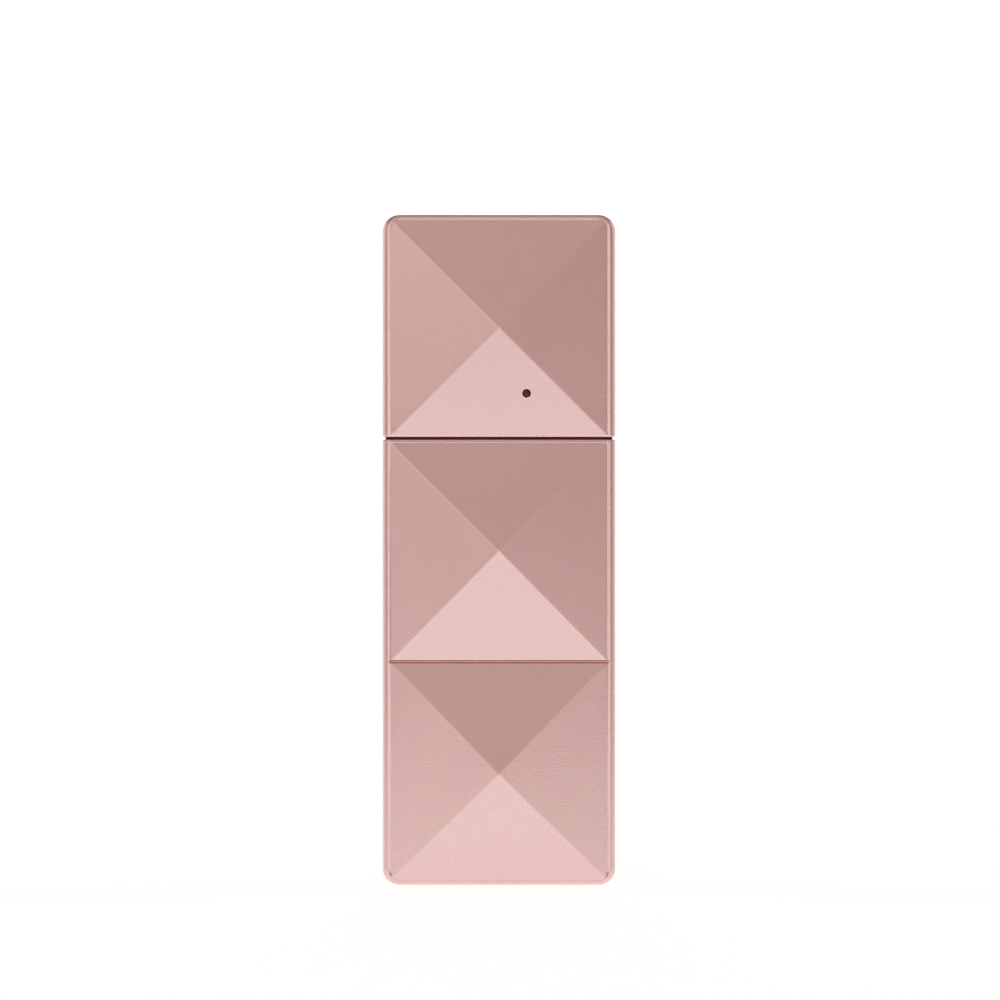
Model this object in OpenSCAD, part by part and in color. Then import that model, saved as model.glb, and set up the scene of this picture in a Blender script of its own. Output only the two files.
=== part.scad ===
// Ultrasonic skin scrubber: a slim handle with a steel spatula blade under a pull-off cap.
// Three shallow square pyramids run up the front, one on the cap and two on the handle.
// Frame: Z up along the length, front face towards -Y, origin at the middle of the base.

/* [Body] */
// Width across the handle and the cap
body_w = 43; // [42:0.5:46]
// Height from the base to the top of the cap
body_h = 124; // [123:0.5:127]
// Depth from the front rim to the flat back
body_d = 17; // [17:0.5:19]
// Thickness of the outside walls
wall = 1.6; // [1.4:0.1:1.8]
// Corner radius of the front outline
corner_r = 3.1; // [2.8:0.1:4]
// Rounding of the front edge
front_edge_r = 0.8; // [0.5:0.1:1]
// Rounding of the back edge
back_edge_r = 2.4; // [1.5:0.1:2.5]

/* [Pyramids] */
// Height of each pyramid above the front rim
pyramid_h = 3; // [2:0.25:4]
// Plain margin from a pyramid to the side of the body
side_margin = 1.5; // [1.2:0.1:2]
// Plain margin from a pyramid to the end of its moulding
end_margin = 0.7; // [0.5:0.1:1]
// Width of the valley groove between the two handle pyramids
valley_w = 0.6; // [0.4:0.1:0.8]
// Depth of the valley groove below the rim
valley_depth = 0.4; // [0.2:0.1:0.6]

/* [Cap] */
// Open gap between the cap and the handle
seam_gap = 0.5; // [0.3:0.1:0.8]
// Distance of the light window from the centre line
window_x = 5.1; // [3:0.1:7]
// Height of the light window above the seam
window_rise = 8.3; // [8:0.1:9]
// Radius of the light window
window_r = 0.75; // [0.6:0.05:0.9]

/* [Neck and blade] */
// Width of the neck that the cap slides over
neck_w = 36; // [35.5:0.1:36.2]
// Depth of the neck
neck_d = 11; // [10.8:0.1:11.2]
// Height of the neck above the seam
neck_rise = 11.3; // [11:0.1:12]
// Width of the spatula blade
blade_w = 28; // [24:0.5:29]
// Thickness of the spatula blade
blade_t = 1; // [0.8:0.1:1.2]
// Height above the neck at which the blade bends
blade_straight = 18; // [14:0.5:19]
// Length of the bent tip
blade_tip = 8.5; // [6:0.5:9]
// Angle of the bent tip towards the front
blade_bend = 20; // [10:1:22]

/* [Buttons] */
// Radius of each round button
button_r = 4.8; // [4.4:0.1:5]
// Height of the power button above the base
power_z = 46.5; // [46:0.5:47]
// Height of the mode button above the base
mode_z = 31.5; // [31:0.5:32]
// Travel of each button
button_travel = 0.4; // [0.3:0.05:0.5]

/* [Hidden] */
$fn = 64;

// Colours
rose = "#cf9f9b";
rose_dark = "#a8736e";
maroon = "#33110f";
silicone = "#3a3233";
steel = "#c9cbce";
alloy = "#b4b7bb";
board_green = "#1f5a3a";
chip_black = "#1c1d20";
copper = "#b8703a";
wire_red = "#a32422";
wire_black = "#222222";
clear = "#e6eef2";

// Front to back
depth_all = body_d + pyramid_h;
front_y = -depth_all / 2;
rim_y = front_y + pyramid_h;
back_y = depth_all / 2;
mid_y = (rim_y + back_y) / 2;
in_x = body_w / 2 - wall;
in_front = rim_y + wall;
in_back = back_y - wall;

// Base to top
third = body_h / 3;
seam_z = 2 * third;
handle_top = seam_z - seam_gap / 2;
cap_bottom = seam_z + seam_gap / 2;
deck_z = handle_top - wall;
cap_in_top = body_h - wall;
cavity_r = 1.5;
apex_drop = 0.15;

// Neck
neck_r = 3;
neck_wall = 1.5;
neck_top = seam_z + neck_rise;
neck_flange_h = 3.4;
neck_flange_grow = 1.3;
neck_flange_d = body_d - 2 * wall - 1;
neck_foot = deck_z - 0.1 - neck_flange_h;
neck_fit = 0.05;
ring_z = seam_z + 3.4;
ring_h = 1.5;
ring_depth = 0.8;
ring_proud = 0.2;

// Cap liner
liner_fit = 0.25;
liner_h = 6.2;
liner_z = cap_bottom + 0.2;

// Blade and its clamp
slot_w = blade_w + 3;
slot_d = 4;
grommet_lip = 0.8;
blade_root_w = 18;
blade_foot = seam_z + 1;
shoulder_z = neck_top - 3;
bend_z = neck_top + blade_straight;
blade_corner = 4;
pin_x = 5;
pin_z = seam_z + 4.3;
pin_r = 1;

// Transducer, stacked upwards along the middle of the handle
stack_z = 57.6;
mass_h = 6;
tab_h = 0.2;
piezo_h = 2;
piezo_r = 5;
piezo_bore = 2.6;
horn_r = 5.5;
horn_foot = stack_z + mass_h + 2 * tab_h + 2 * piezo_h;
horn_round_h = 8;
horn_block_w = 20;
horn_block_d = 5.2;
horn_top = seam_z + 7.8;
bolt_r = 1.5;
bolt_head_r = 2.75;
bolt_head_h = 3;
cradle_r = 6.85;
cradle_h = 3;
cradle_z = [stack_z + 0.9, horn_foot + 2];

// Screws that join the two shells
boss_x = in_x - 2.6;
boss_z = [8, 65.5];
boss_r = 2.2;
case_screw_r = 1;
case_head_r = 1.8;
case_head_y = 5.3;
case_head_h = 1.3;
case_screw_end = -3.5;
plug_h = 1.3;
counterbore_r = 1.9;

// Layers inside the handle, front to back
foam_t = 0.5;
battery_t = 4.8;
battery_w = 29;
battery_z = [6, 48];
battery_y = in_front + foam_t;
chassis_y = battery_y + battery_t + 0.2;
chassis_t = 1.2;
board_y = chassis_y + chassis_t + 2.6;
board_t = 1;
board_back = board_y + board_t;
board_w = 29;
board_z = [4.5, 52.5];
post_x = 12.3;
post_z = [8, 49];
post_r = 1.7;
board_screw_r = 0.7;

// Buttons and the panel round them
flange_r = button_r + 0.9;
flange_h = 0.6;
button_gap = 0.1;
button_top = back_y - 0.1;
stem_r = 1.55;
switch_w = 6;
switch_h = 1.6;
switch_floor = 0.3;
stem_foot = board_back + switch_floor + button_travel + 0.2;
stem_top = in_back - 1.3;
seal_r = button_r + 1.6;
seal_t = 0.65;
panel_r = button_r + 2.2;
panel_t = 0.7;
light_x = [-3, 0, 3];
light_z = (power_z + mode_z) / 2;
light_r = 0.6;

// Charging socket
usb_w = 8.94;
usb_h = 3.26;
usb_r = 1.2;
usb_z = [0.5, 7.9];
usb_y = board_y - usb_h / 2;
usb_wall = 0.3;

// Plug of the battery on the board
plug_x = -9;
plug_y = board_back + 1.4;
plug_z = 44.5;
plug_w = 6;

// Leads: radius with their jacket, how far apart a pair runs, and where they cross the chassis
lead_r = 0.45;
thin_lead_r = 0.35;
lead_pitch = 2;
lead_x = 8.2;
lead_knee_z = 56;

// Small lamps, the same part behind every light: width, height, thickness
led_w = 1.6;
led_h = 0.9;
led_t = 0.6;

// Small parts standing on the back of the board: [x, z, width, height along Z, thickness]
small_parts = [
    [-12.3, 27, 1.25, 2, 1.2], [-12.3, 30, 1.25, 2, 1.2], [-12.3, 33, 1.25, 2, 1.2],
    [12.3, 27, 1.25, 2, 1.2], [12.3, 30, 1.25, 2, 1.2], [12.3, 33, 1.25, 2, 1.2],
    [-2.6, 14, 2, 1.25, 1.2], [0.6, 14, 2, 1.25, 1.2],
    [10.5, 40, 3.2, 6, 1.8]
];

// Rounded rectangle centred on the origin
module round_rect(w, h, r) {
    square([w - 2 * r, h], center = true);
    square([w, h - 2 * r], center = true);
    for (sx = [-1, 1], sy = [-1, 1])
        translate([sx * (w / 2 - r), sy * (h / 2 - r)]) circle(r);
}

// Upright rounded bar: section w x d round the middle of the body, from z0 to z1
module bar(w, d, r, z0, z1, y = mid_y) {
    translate([0, y, z0]) linear_extrude(z1 - z0) round_rect(w, d, r);
}

// Rod along Y from y0 to y1
module rod_y(x, z, r, y0, y1) {
    translate([x, y0, z]) rotate([-90, 0, 0]) cylinder(h = y1 - y0, r = r);
}

// Block centred on x and z, from y0 to y1
module block_y(x, z, w, h, y0, y1) {
    translate([x - w / 2, y0, z - h / 2]) cube([w, y1 - y0, h]);
}

function unit(v) = v / norm(v);

// Route with each corner replaced by a short curve of reach bend
function rounded(p, bend) = [
    p[0],
    for (i = [1 : len(p) - 2])
        let (
            before = p[i - 1] - p[i],
            after = p[i + 1] - p[i],
            reach = min(bend, 0.45 * norm(before), 0.45 * norm(after))
        )
        for (t = [0 : 0.25 : 1])
            pow(1 - t, 2) * (p[i] + reach * unit(before)) + 2 * t * (1 - t) * p[i]
                + pow(t, 2) * (p[i] + reach * unit(after)),
    p[len(p) - 1]
];

// Direction of the route at point i
function heading(p, i) = unit(p[min(i + 1, len(p) - 1)] - p[max(i - 1, 0)]);

// Side vectors carried along the route without twisting
function sides_of(p, i, side) = i == len(p) ? [] :
    let (t = heading(p, i), n = unit(side - (side * t) * t)) concat([n], sides_of(p, i + 1, n));

// Wire of radius r swept along a route, with eight sides
module wire(route, r) {
    p = rounded(route, 1.5);
    n = sides_of(p, 0, [0.3, 0.5, 0.8]);
    count = 8;
    last = len(p) - 1;
    polyhedron(
        points = [for (i = [0 : last], k = [0 : count - 1])
            p[i] + r * (cos(360 * k / count) * n[i] + sin(360 * k / count) * cross(heading(p, i), n[i]))],
        faces = concat(
            [[for (k = [0 : count - 1]) k]],
            [for (i = [0 : last - 1], k = [0 : count - 1]) let (m = (k + 1) % count)
                [(i + 1) * count + k, (i + 1) * count + m, i * count + m, i * count + k]],
            [[for (k = [count - 1 : -1 : 0]) last * count + k]]
        )
    );
}

// Side of the body seen along its length: half width a, from the front edge to the back edge
module edge_profile(a) {
    translate([-a, rim_y + front_edge_r])
        square([2 * a, body_d - front_edge_r - back_edge_r]);
    translate([-a + front_edge_r, rim_y])
        square([2 * (a - front_edge_r), body_d / 2]);
    translate([-a + back_edge_r, mid_y])
        square([2 * (a - back_edge_r), body_d / 2]);
    for (s = [-1, 1]) {
        translate([s * (a - front_edge_r), rim_y + front_edge_r]) circle(front_edge_r);
        translate([s * (a - back_edge_r), back_y - back_edge_r]) circle(back_edge_r);
    }
}

// The whole outer block, handle and cap together, without the pyramids
module outer_block() {
    flat_h = body_h - 2 * corner_r;
    flat_w = body_w - 2 * corner_r;
    translate([0, 0, corner_r]) linear_extrude(flat_h) edge_profile(body_w / 2);
    translate([-flat_w / 2, 0, body_h / 2]) rotate([90, 0, 90])
        linear_extrude(flat_w) mirror([1, -1]) edge_profile(body_h / 2);
    for (sx = [-1, 1], z = [corner_r, body_h - corner_r])
        translate([sx * flat_w / 2, 0, z]) rotate([-90, 0, 0])
            rotate_extrude() intersection() {
                edge_profile(corner_r);
                translate([0, rim_y]) square([corner_r, body_d]);
            }
}

// Everything between two heights and two depths
module keep(z0, z1, y0, y1) {
    translate([-body_w, y0, z0]) cube([2 * body_w, y1 - y0, z1 - z0]);
}

// Shallow pyramid on the front between z0 and z1, with its tip at apex
module pyramid(z0, z1, apex) {
    a = body_w / 2 - side_margin;
    sunk = rim_y + wall / 2;
    polyhedron(
        points = [
            [-a, sunk, z0], [a, sunk, z0], [a, sunk, z1], [-a, sunk, z1],
            [-a, rim_y, z0], [a, rim_y, z0], [a, rim_y, z1], [-a, rim_y, z1],
            [0, front_y, apex]
        ],
        faces = [
            [0, 1, 2, 3],
            [4, 5, 1, 0], [5, 6, 2, 1], [6, 7, 3, 2], [7, 4, 0, 3],
            [8, 5, 4], [8, 6, 5], [8, 7, 6], [8, 4, 7]
        ]
    );
}

function apex_z(i) = third * (i + 0.5) - apex_drop;

// Outer skin of the handle: both shells before they are hollowed
module handle_outer() {
    intersection() {
        outer_block();
        keep(0, handle_top, rim_y, back_y);
    }
}

// Space inside the handle, the neck opening and the socket opening
module handle_inside() {
    translate([0, 0, wall]) linear_extrude(deck_z - wall)
        translate([0, mid_y]) round_rect(2 * in_x, body_d - 2 * wall, cavity_r);
    bar(neck_w + 2 * neck_fit, neck_d + 2 * neck_fit, neck_r, deck_z - 1, handle_top + 1);
    bar(usb_w + 0.3, usb_h + 0.3, usb_r, -1, wall + 1, usb_y);
}

module front_shell() {
    tab_z = [22, 36, 50];
    color(rose) difference() {
        union() {
            difference() {
                union() {
                    intersection() {
                        handle_outer();
                        keep(0, handle_top, rim_y, mid_y);
                    }
                    pyramid(end_margin, third - valley_w / 2, apex_z(0));
                    pyramid(third + valley_w / 2, handle_top - end_margin, apex_z(1));
                }
                handle_inside();
            }
            for (s = [-1, 1], z = boss_z) rod_y(s * boss_x, z, boss_r, in_front - 0.2, mid_y);
            // tabs that locate the rear shell
            for (s = [-1, 1], z = tab_z)
                block_y(s * (in_x - 0.45), z, 0.8, 8, mid_y - 2, mid_y + 1.2);
            for (s = [-1, 1], z = tab_z)
                block_y(s * (in_x - 0.2), z, 0.8, 8, mid_y - 2, mid_y - 0.2);
        }
        for (s = [-1, 1], z = boss_z)
            rod_y(s * boss_x, z, case_screw_r + 0.02, case_screw_end - 0.3, mid_y + 1);
        // groove in the valley between the two pyramids
        block_y(0, third, body_w - 2 * side_margin, valley_w, rim_y - 1, rim_y + valley_depth);
    }
}

module rear_shell() {
    color(rose) difference() {
        union() {
            difference() {
                intersection() {
                    handle_outer();
                    keep(0, handle_top, mid_y, back_y);
                }
                handle_inside();
            }
            for (s = [-1, 1], z = boss_z) rod_y(s * boss_x, z, boss_r + 0.3, mid_y, in_back + 0.2);
        }
        for (s = [-1, 1], z = boss_z) {
            rod_y(s * boss_x, z, case_screw_r + 0.1, mid_y - 1, back_y);
            rod_y(s * boss_x, z, counterbore_r, case_head_y, back_y + 1);
        }
        for (z = [power_z, mode_z]) rod_y(0, z, button_r + button_gap, mid_y, back_y + 1);
        for (x = light_x) rod_y(x, light_z, light_r + 0.05, mid_y, back_y + 1);
        panel_outline(back_y - panel_t, back_y + 1, 0);
    }
}

// Capsule round both buttons, inset by gap, from y0 to y1
module panel_outline(y0, y1, gap) {
    for (z = [power_z, mode_z]) rod_y(0, z, panel_r - gap, y0, y1);
    block_y(0, light_z, 2 * (panel_r - gap), power_z - mode_z, y0, y1);
}

module control_panel() {
    color(rose_dark) difference() {
        panel_outline(back_y - panel_t, back_y - 0.05, 0.05);
        for (z = [power_z, mode_z]) rod_y(0, z, button_r + button_gap, mid_y, back_y + 1);
        for (x = light_x) rod_y(x, light_z, light_r + 0.05, mid_y, back_y + 1);
    }
}

module cap_shell() {
    color(rose) difference() {
        union() {
            intersection() {
                outer_block();
                keep(cap_bottom, body_h, rim_y, back_y);
            }
            pyramid(cap_bottom + end_margin, body_h - end_margin, apex_z(2));
        }
        bar(2 * in_x, body_d - 2 * wall, cavity_r, cap_bottom - 1, cap_in_top);
        rod_y(window_x, seam_z + window_rise, window_r + 0.05, front_y, mid_y);
    }
}

// Sleeve bonded inside the mouth of the cap, which grips the neck
module cap_liner() {
    color(maroon) difference() {
        bar(2 * in_x - 0.1, body_d - 2 * wall - 0.1, cavity_r, liner_z, liner_z + liner_h);
        bar(neck_w + 2 * liner_fit, neck_d + 2 * liner_fit, neck_r + liner_fit,
            liner_z - 1, liner_z + liner_h + 1);
    }
}

// Tinted plug in the cap that lets the neck light show
module cap_window() {
    z = seam_z + window_rise;
    rise = pyramid_h * (window_rise - seam_gap / 2 - end_margin) / (apex_z(2) - cap_bottom - end_margin);
    color(maroon) {
        rod_y(window_x, z, window_r, rim_y - rise + 0.5, in_front + 0.1);
        rod_y(window_x, z, 2 * window_r, in_front, in_front + 0.5);
    }
}

module neck_collar() {
    color(maroon) difference() {
        union() {
            bar(neck_w, neck_d, neck_r, neck_foot, neck_top);
            bar(neck_w + 2 * neck_flange_grow, neck_flange_d, neck_r, neck_foot, deck_z - 0.1);
        }
        bar(neck_w - 2 * neck_wall, neck_d - 2 * neck_wall, neck_r - neck_wall,
            neck_foot - 1, neck_top - neck_wall);
        bar(slot_w, slot_d, slot_d / 2 - 0.1, neck_top - neck_wall - 1, neck_top + 1);
        // groove for the seal ring
        difference() {
            bar(neck_w + 2, neck_d + 2, neck_r, ring_z, ring_z + ring_h);
            bar(neck_w - 2 * ring_depth, neck_d - 2 * ring_depth, neck_r - ring_depth,
                ring_z - 1, ring_z + ring_h + 1);
        }
        rod_y(window_x, seam_z + window_rise, 1, mid_y - neck_d, mid_y - neck_d / 2 + neck_wall + 0.1);
    }
}

module neck_seal_ring() {
    color(silicone) difference() {
        bar(neck_w + 2 * ring_proud, neck_d + 2 * ring_proud, neck_r + ring_proud,
            ring_z + 0.05, ring_z + ring_h - 0.05);
        bar(neck_w - 2 * ring_depth + 0.04, neck_d - 2 * ring_depth + 0.04, neck_r - ring_depth,
            ring_z - 1, ring_z + ring_h + 1);
    }
}

// Thin ring that closes the seam and gives the cap a soft stop
module seam_gasket() {
    inset = 0.5;
    color(maroon) difference() {
        bar(body_w - 2 * inset, body_d - 2 * inset, cavity_r, handle_top + 0.02, cap_bottom - 0.08);
        bar(neck_w + 2 * neck_fit, neck_d + 2 * neck_fit, neck_r, handle_top - 1, cap_bottom + 1);
    }
}

// Flat strip with a bent tip, cut to the blade's outline
module blade_blank() {
    half = blade_t / 2;
    tip_y = -blade_tip * sin(blade_bend);
    tip_z = bend_z + blade_tip * cos(blade_bend);
    edge = blade_t / 4;
    intersection() {
        translate([-blade_w, 0, 0]) rotate([90, 0, 90]) linear_extrude(2 * blade_w)
            translate([mid_y, 0]) polygon([
                [-half, blade_foot], [half, blade_foot], [half, bend_z],
                [tip_y + edge, tip_z], [tip_y - edge, tip_z - edge], [-half, bend_z]
            ]);
        translate([0, 50, 0]) rotate([90, 0, 0]) linear_extrude(100) {
            translate([-blade_root_w / 2, blade_foot - 1])
                square([blade_root_w, shoulder_z + 3 - blade_foot]);
            translate([0, (shoulder_z + tip_z) / 2])
                round_rect(blade_w, tip_z - shoulder_z, blade_corner);
        }
        keep(blade_foot, tip_z, -depth_all, depth_all);
    }
}

// Blank of the blade with the holes for its two pins
module blade() {
    color(steel) difference() {
        blade_blank();
        for (s = [-1, 1]) rod_y(s * pin_x, pin_z, pin_r + 0.02, mid_y - 5, mid_y + 5);
    }
}

// Silicone seal round the blade in the top of the neck
module blade_grommet() {
    color(silicone) difference() {
        union() {
            bar(slot_w - 0.1, slot_d - 0.1, slot_d / 2 - 0.15,
                neck_top - neck_wall - 0.3, neck_top + grommet_lip);
            bar(slot_w + 1, slot_d + 1, slot_d / 2 + 0.4, neck_top, neck_top + grommet_lip);
        }
        bar(blade_w + 0.1, blade_t + 0.1, 0.3, neck_top - 5, neck_top + 5);
    }
}

module blade_pins() {
    color(steel) for (s = [-1, 1])
        rod_y(s * pin_x, pin_z, pin_r, mid_y - horn_block_d / 2, mid_y + horn_block_d / 2);
}

module transducer_horn() {
    color(alloy) difference() {
        union() {
            translate([0, mid_y, horn_foot]) cylinder(h = horn_round_h, r = horn_r);
            translate([-horn_block_w / 2, mid_y - horn_block_d / 2, horn_foot + horn_round_h - 1])
                cube([horn_block_w, horn_block_d, horn_top - horn_foot - horn_round_h + 1]);
        }
        translate([-horn_block_w, mid_y - blade_t / 2 - 0.02, blade_foot - 0.1])
            cube([2 * horn_block_w, blade_t + 0.04, 20]);
        for (s = [-1, 1]) rod_y(s * pin_x, pin_z, pin_r + 0.02, mid_y - 5, mid_y + 5);
        translate([0, mid_y, horn_foot - 1]) cylinder(h = horn_round_h, r = bolt_r + 0.02);
    }
}

// Holed disc round the transducer's axis
module stack_ring(z, h, r_out, r_in) {
    translate([0, mid_y, z]) difference() {
        cylinder(h = h, r = r_out);
        translate([0, 0, -1]) cylinder(h = h + 2, r = r_in);
    }
}

module piezo_rings() {
    lower = stack_z + mass_h + tab_h;
    color("#d8d2c4") for (z = [lower, lower + piezo_h + tab_h])
        stack_ring(z, piezo_h, piezo_r, piezo_bore);
}

module electrode_tabs() {
    lower = stack_z + mass_h;
    color(copper) for (i = [0, 1]) union() {
        stack_ring(lower + i * (piezo_h + tab_h), tab_h, piezo_r, piezo_bore);
        translate([(i == 0 ? -1 : 1) * 6 - 1.6, mid_y - 1, lower + i * (piezo_h + tab_h)])
            cube([3.2, 2, tab_h]);
    }
}

module transducer_rear_mass() {
    color(steel) stack_ring(stack_z, mass_h, horn_r, bolt_r + 0.1);
}

module transducer_bolt() {
    color("#8d8f94") difference() {
        union() {
            translate([0, mid_y, stack_z - bolt_head_h]) cylinder(h = bolt_head_h, r = bolt_head_r);
            translate([0, mid_y, stack_z - 1])
                cylinder(h = horn_foot - stack_z + horn_round_h - 1, r = bolt_r);
        }
        translate([0, mid_y, stack_z - bolt_head_h - 1]) cylinder(h = 2.8, r = 1.45, $fn = 6);
    }
}

module bolt_sleeve() {
    color("#e8e8e4") stack_ring(stack_z + mass_h, horn_foot - stack_z - mass_h,
        piezo_bore - 0.05, bolt_r + 0.05);
}

module isolation_rings() {
    color(silicone) for (z = cradle_z) stack_ring(z, cradle_h, cradle_r, horn_r + 0.02);
}

module transducer_leads() {
    tab_z = stack_z + mass_h + tab_h / 2;
    lead_y = mid_y + 1.5;
    solder_y = board_back + lead_r;
    pad_x = -4.4;
    color(wire_red) wire([
        [lead_x - 0.3, mid_y, tab_z + piezo_h + tab_h - 0.6], [lead_x, lead_y, tab_z - 0.5],
        [lead_x, lead_y, lead_knee_z], [lead_x, solder_y, 54], [lead_x - 0.2, solder_y, 50.4]
    ], lead_r);
    color(wire_black) wire([
        [0.3 - lead_x, mid_y, tab_z - 0.6], [-lead_x, lead_y, tab_z - 2],
        [-lead_x, lead_y, lead_knee_z], [pad_x, solder_y + 1.5, 55.5],
        [pad_x, solder_y, 53], [pad_x, solder_y, 51.4]
    ], lead_r);
}

// Plastic frame: plate between battery and board, fork round the transducer
module chassis() {
    plate_z = 3.2;
    fork_z = 53;
    rail_x = [9, 14.5];
    fork_top = cradle_z[1] + cradle_h;
    color("#4a4c50") difference() {
        union() {
            translate([-14.9, chassis_y, plate_z]) cube([29.8, chassis_t, fork_z - plate_z]);
            for (s = [-1, 1]) {
                block_y(s * (rail_x[0] + rail_x[1]) / 2, (fork_z + fork_top) / 2,
                    rail_x[1] - rail_x[0], fork_top - fork_z + 0.2, chassis_y, chassis_y + chassis_t);
                for (z = cradle_z)
                    block_y(s * (6.6 + rail_x[1]) / 2, z + cradle_h / 2,
                        rail_x[1] - 6.6, cradle_h, mid_y - 5, mid_y + 5);
                for (z = boss_z)
                    block_y(s * 17, z, 5.4, 6.4, chassis_y, chassis_y + chassis_t);
                for (z = post_z)
                    rod_y(s * post_x, z, post_r, chassis_y, board_y);
            }
        }
        for (s = [-1, 1]) {
            for (z = boss_z) rod_y(s * boss_x, z, boss_r + 0.1, mid_y - 5, mid_y + 5);
            for (z = post_z) rod_y(s * post_x, z, board_screw_r + 0.02, chassis_y - 1, board_y + 1);
            translate([s * lead_x, mid_y + 1.5, cradle_z[0] - 1])
                cylinder(h = cradle_h + 2, r = 2 * lead_r);
        }
        for (z = cradle_z) translate([0, mid_y, z - 1]) cylinder(h = cradle_h + 2, r = cradle_r + 0.05);
        block_y(0, plate_z + 4, usb_w + 2.4, 8.2, chassis_y - 1, chassis_y + 2);
    }
}

module battery_cell() {
    color("#b9bcc2") translate([0, battery_y + battery_t / 2, battery_z[0]])
        linear_extrude(battery_z[1] - battery_z[0]) round_rect(battery_w, battery_t, 1.6);
}

module battery_foam() {
    color("#2b2b2e") block_y(0, (battery_z[0] + battery_z[1]) / 2, 24, 36, in_front, battery_y);
}

module battery_protection_board() {
    color("#b8923a") block_y(0, battery_z[1] + 1.6, 24, 3, battery_y + 1.8, battery_y + 2.6);
}

module battery_leads() {
    start_y = battery_y + 3.05;
    for (i = [0, 1])
        color(i == 0 ? wire_red : wire_black) translate([-lead_pitch * i, 0, 0]) wire([
            [-5, start_y, battery_z[1] + 2.2], [-5, start_y + 0.4, 53.8],
            [-5, mid_y + 0.4, 54.2], [-7, plug_y + 0.4, 53.6],
            [plug_x + 1, plug_y, 51], [plug_x + 1, plug_y, plug_z + plug_w / 2 + lead_r]
        ], lead_r);
}

module battery_connector() {
    color("#e9e4d8") difference() {
        block_y(plug_x, plug_z, plug_w, plug_w, board_back, board_back + 2.6);
        for (i = [0, 1])
            block_y(plug_x + 1 - lead_pitch * i, plug_z - plug_w / 2, 1, 3, plug_y - 0.5, plug_y + 0.5);
    }
}

module main_board() {
    color(board_green) difference() {
        block_y(0, (board_z[0] + board_z[1]) / 2, board_w, board_z[1] - board_z[0], board_y, board_back);
        for (s = [-1, 1], z = post_z) rod_y(s * post_x, z, board_screw_r + 0.2, board_y - 1, board_back + 1);
    }
}

// Chip body with a row of legs on two or four sides
module chip(x, z, w, legs, sides) {
    pitch = w / (legs + 1);
    block_y(x, z, w, w, board_back + 0.1, board_back + 1.1);
    for (side = [0 : sides - 1], i = [1 : legs])
        translate([x, board_back, z]) rotate([0, side * 360 / sides, 0])
            translate([w / 2 - 0.1, 0, -w / 2 + i * pitch - 0.15]) cube([0.9, 0.3, 0.3]);
}

module controller_chip() {
    color(chip_black) chip(-7, 19, 6, 7, 4);
}

module charger_chip() {
    color(chip_black) chip(-7, 9.5, 3.6, 4, 2);
}

module drive_transistors() {
    color(chip_black) for (x = [3.2, 7.4]) {
        block_y(x, 8.5, 3.2, 2.6, board_back + 0.1, board_back + 1.5);
        for (i = [-1, 0, 1]) block_y(x + i, 6.8, 0.4, 1, board_back, board_back + 0.3);
        block_y(x, 10.1, 1.8, 0.9, board_back, board_back + 0.3);
    }
}

module transformer_core() {
    color("#3c3d40") for (part = [[4.2, 0, 0.6], [1.8, 0, 3], [4.2, 2.4, 3]])
        rod_y(8.2, 18, part[0], board_back + part[1], board_back + part[2]);
}

module transformer_winding() {
    color(copper) difference() {
        rod_y(8.2, 18, 3.8, board_back + 0.62, board_back + 2.38);
        rod_y(8.2, 18, 1.85, board_back, board_back + 3);
    }
}

module boost_inductor() {
    color("#55575c") difference() {
        block_y(-9, 36, 5, 5, board_back, board_back + 2.8);
        rod_y(-9, 36, 1.6, board_back + 2.5, board_back + 4);
    }
}

module capacitors() {
    color("#a98a5e") for (p = small_parts)
        block_y(p[0], p[1], p[2], p[3], board_back, board_back + p[4]);
}

module tact_switches() {
    color(steel) for (z = [power_z, mode_z]) difference() {
        block_y(0, z, switch_w, switch_w, board_back, board_back + switch_h);
        rod_y(0, z, stem_r + 0.1, board_back + switch_floor, board_back + 5);
    }
}

// Stem of one switch, resting under its button
module switch_stem(z) {
    color(chip_black) rod_y(0, z, stem_r, stem_foot, stem_top);
}

// Round button with the flange that keeps it behind the wall
module button(z) {
    color(rose_dark) {
        rod_y(0, z, button_r, stem_top, button_top);
        rod_y(0, z, flange_r, stem_top, stem_top + flange_h);
    }
}

module button_seal(z) {
    color(silicone) difference() {
        rod_y(0, z, seal_r, in_back - seal_t, in_back);
        rod_y(0, z, button_r + 0.06, in_back - 2, in_back + 1);
    }
}

module indicator_leds() {
    color("#f2efe2") for (x = light_x)
        block_y(x, light_z, led_w, led_h, board_back, board_back + led_t);
}

module indicator_light_pipes() {
    color(clear) {
        for (x = light_x) rod_y(x, light_z, light_r, board_back + 0.8, back_y - 0.1);
        block_y(0, light_z, 8, 1.2, board_back + 1.3, board_back + 2.3);
    }
}

// Light in the neck, seen through the window of the cap
neck_front = mid_y - neck_d / 2;

module neck_light_pipe() {
    color(clear) rod_y(window_x, seam_z + window_rise, 0.97, neck_front + 0.02, neck_front + 1.6);
}

module neck_led() {
    color("#f2efe2")
        block_y(window_x, seam_z + window_rise, led_w, led_h, neck_front + 1.65, neck_front + 2.2);
}

module neck_light_board() {
    color(board_green)
        block_y(window_x, seam_z + window_rise - 1.2, 6, 5, neck_front + 2.2, neck_front + 2.7);
}

module neck_light_leads() {
    start_z = seam_z + window_rise - 2.8;
    solder_y = board_back + thin_lead_r;
    for (i = [0, 1])
        color(i == 0 ? wire_red : wire_black) wire([
            [window_x + 3.35, neck_front + 2.45, start_z + 0.9 * i],
            [10.8, neck_front + 2.45, start_z - 0.7 + 0.9 * i], [11.6, 0.4 + i, start_z - 3],
            [12.2, 3 + i, 78.5], [12 + i, 7.5, 74.6], [12 + i, 7.5, 56],
            [10.4 + 0.8 * i, solder_y + 0.4, 52], [10.4 + 0.8 * i, solder_y, 51]
        ], thin_lead_r);
}

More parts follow.
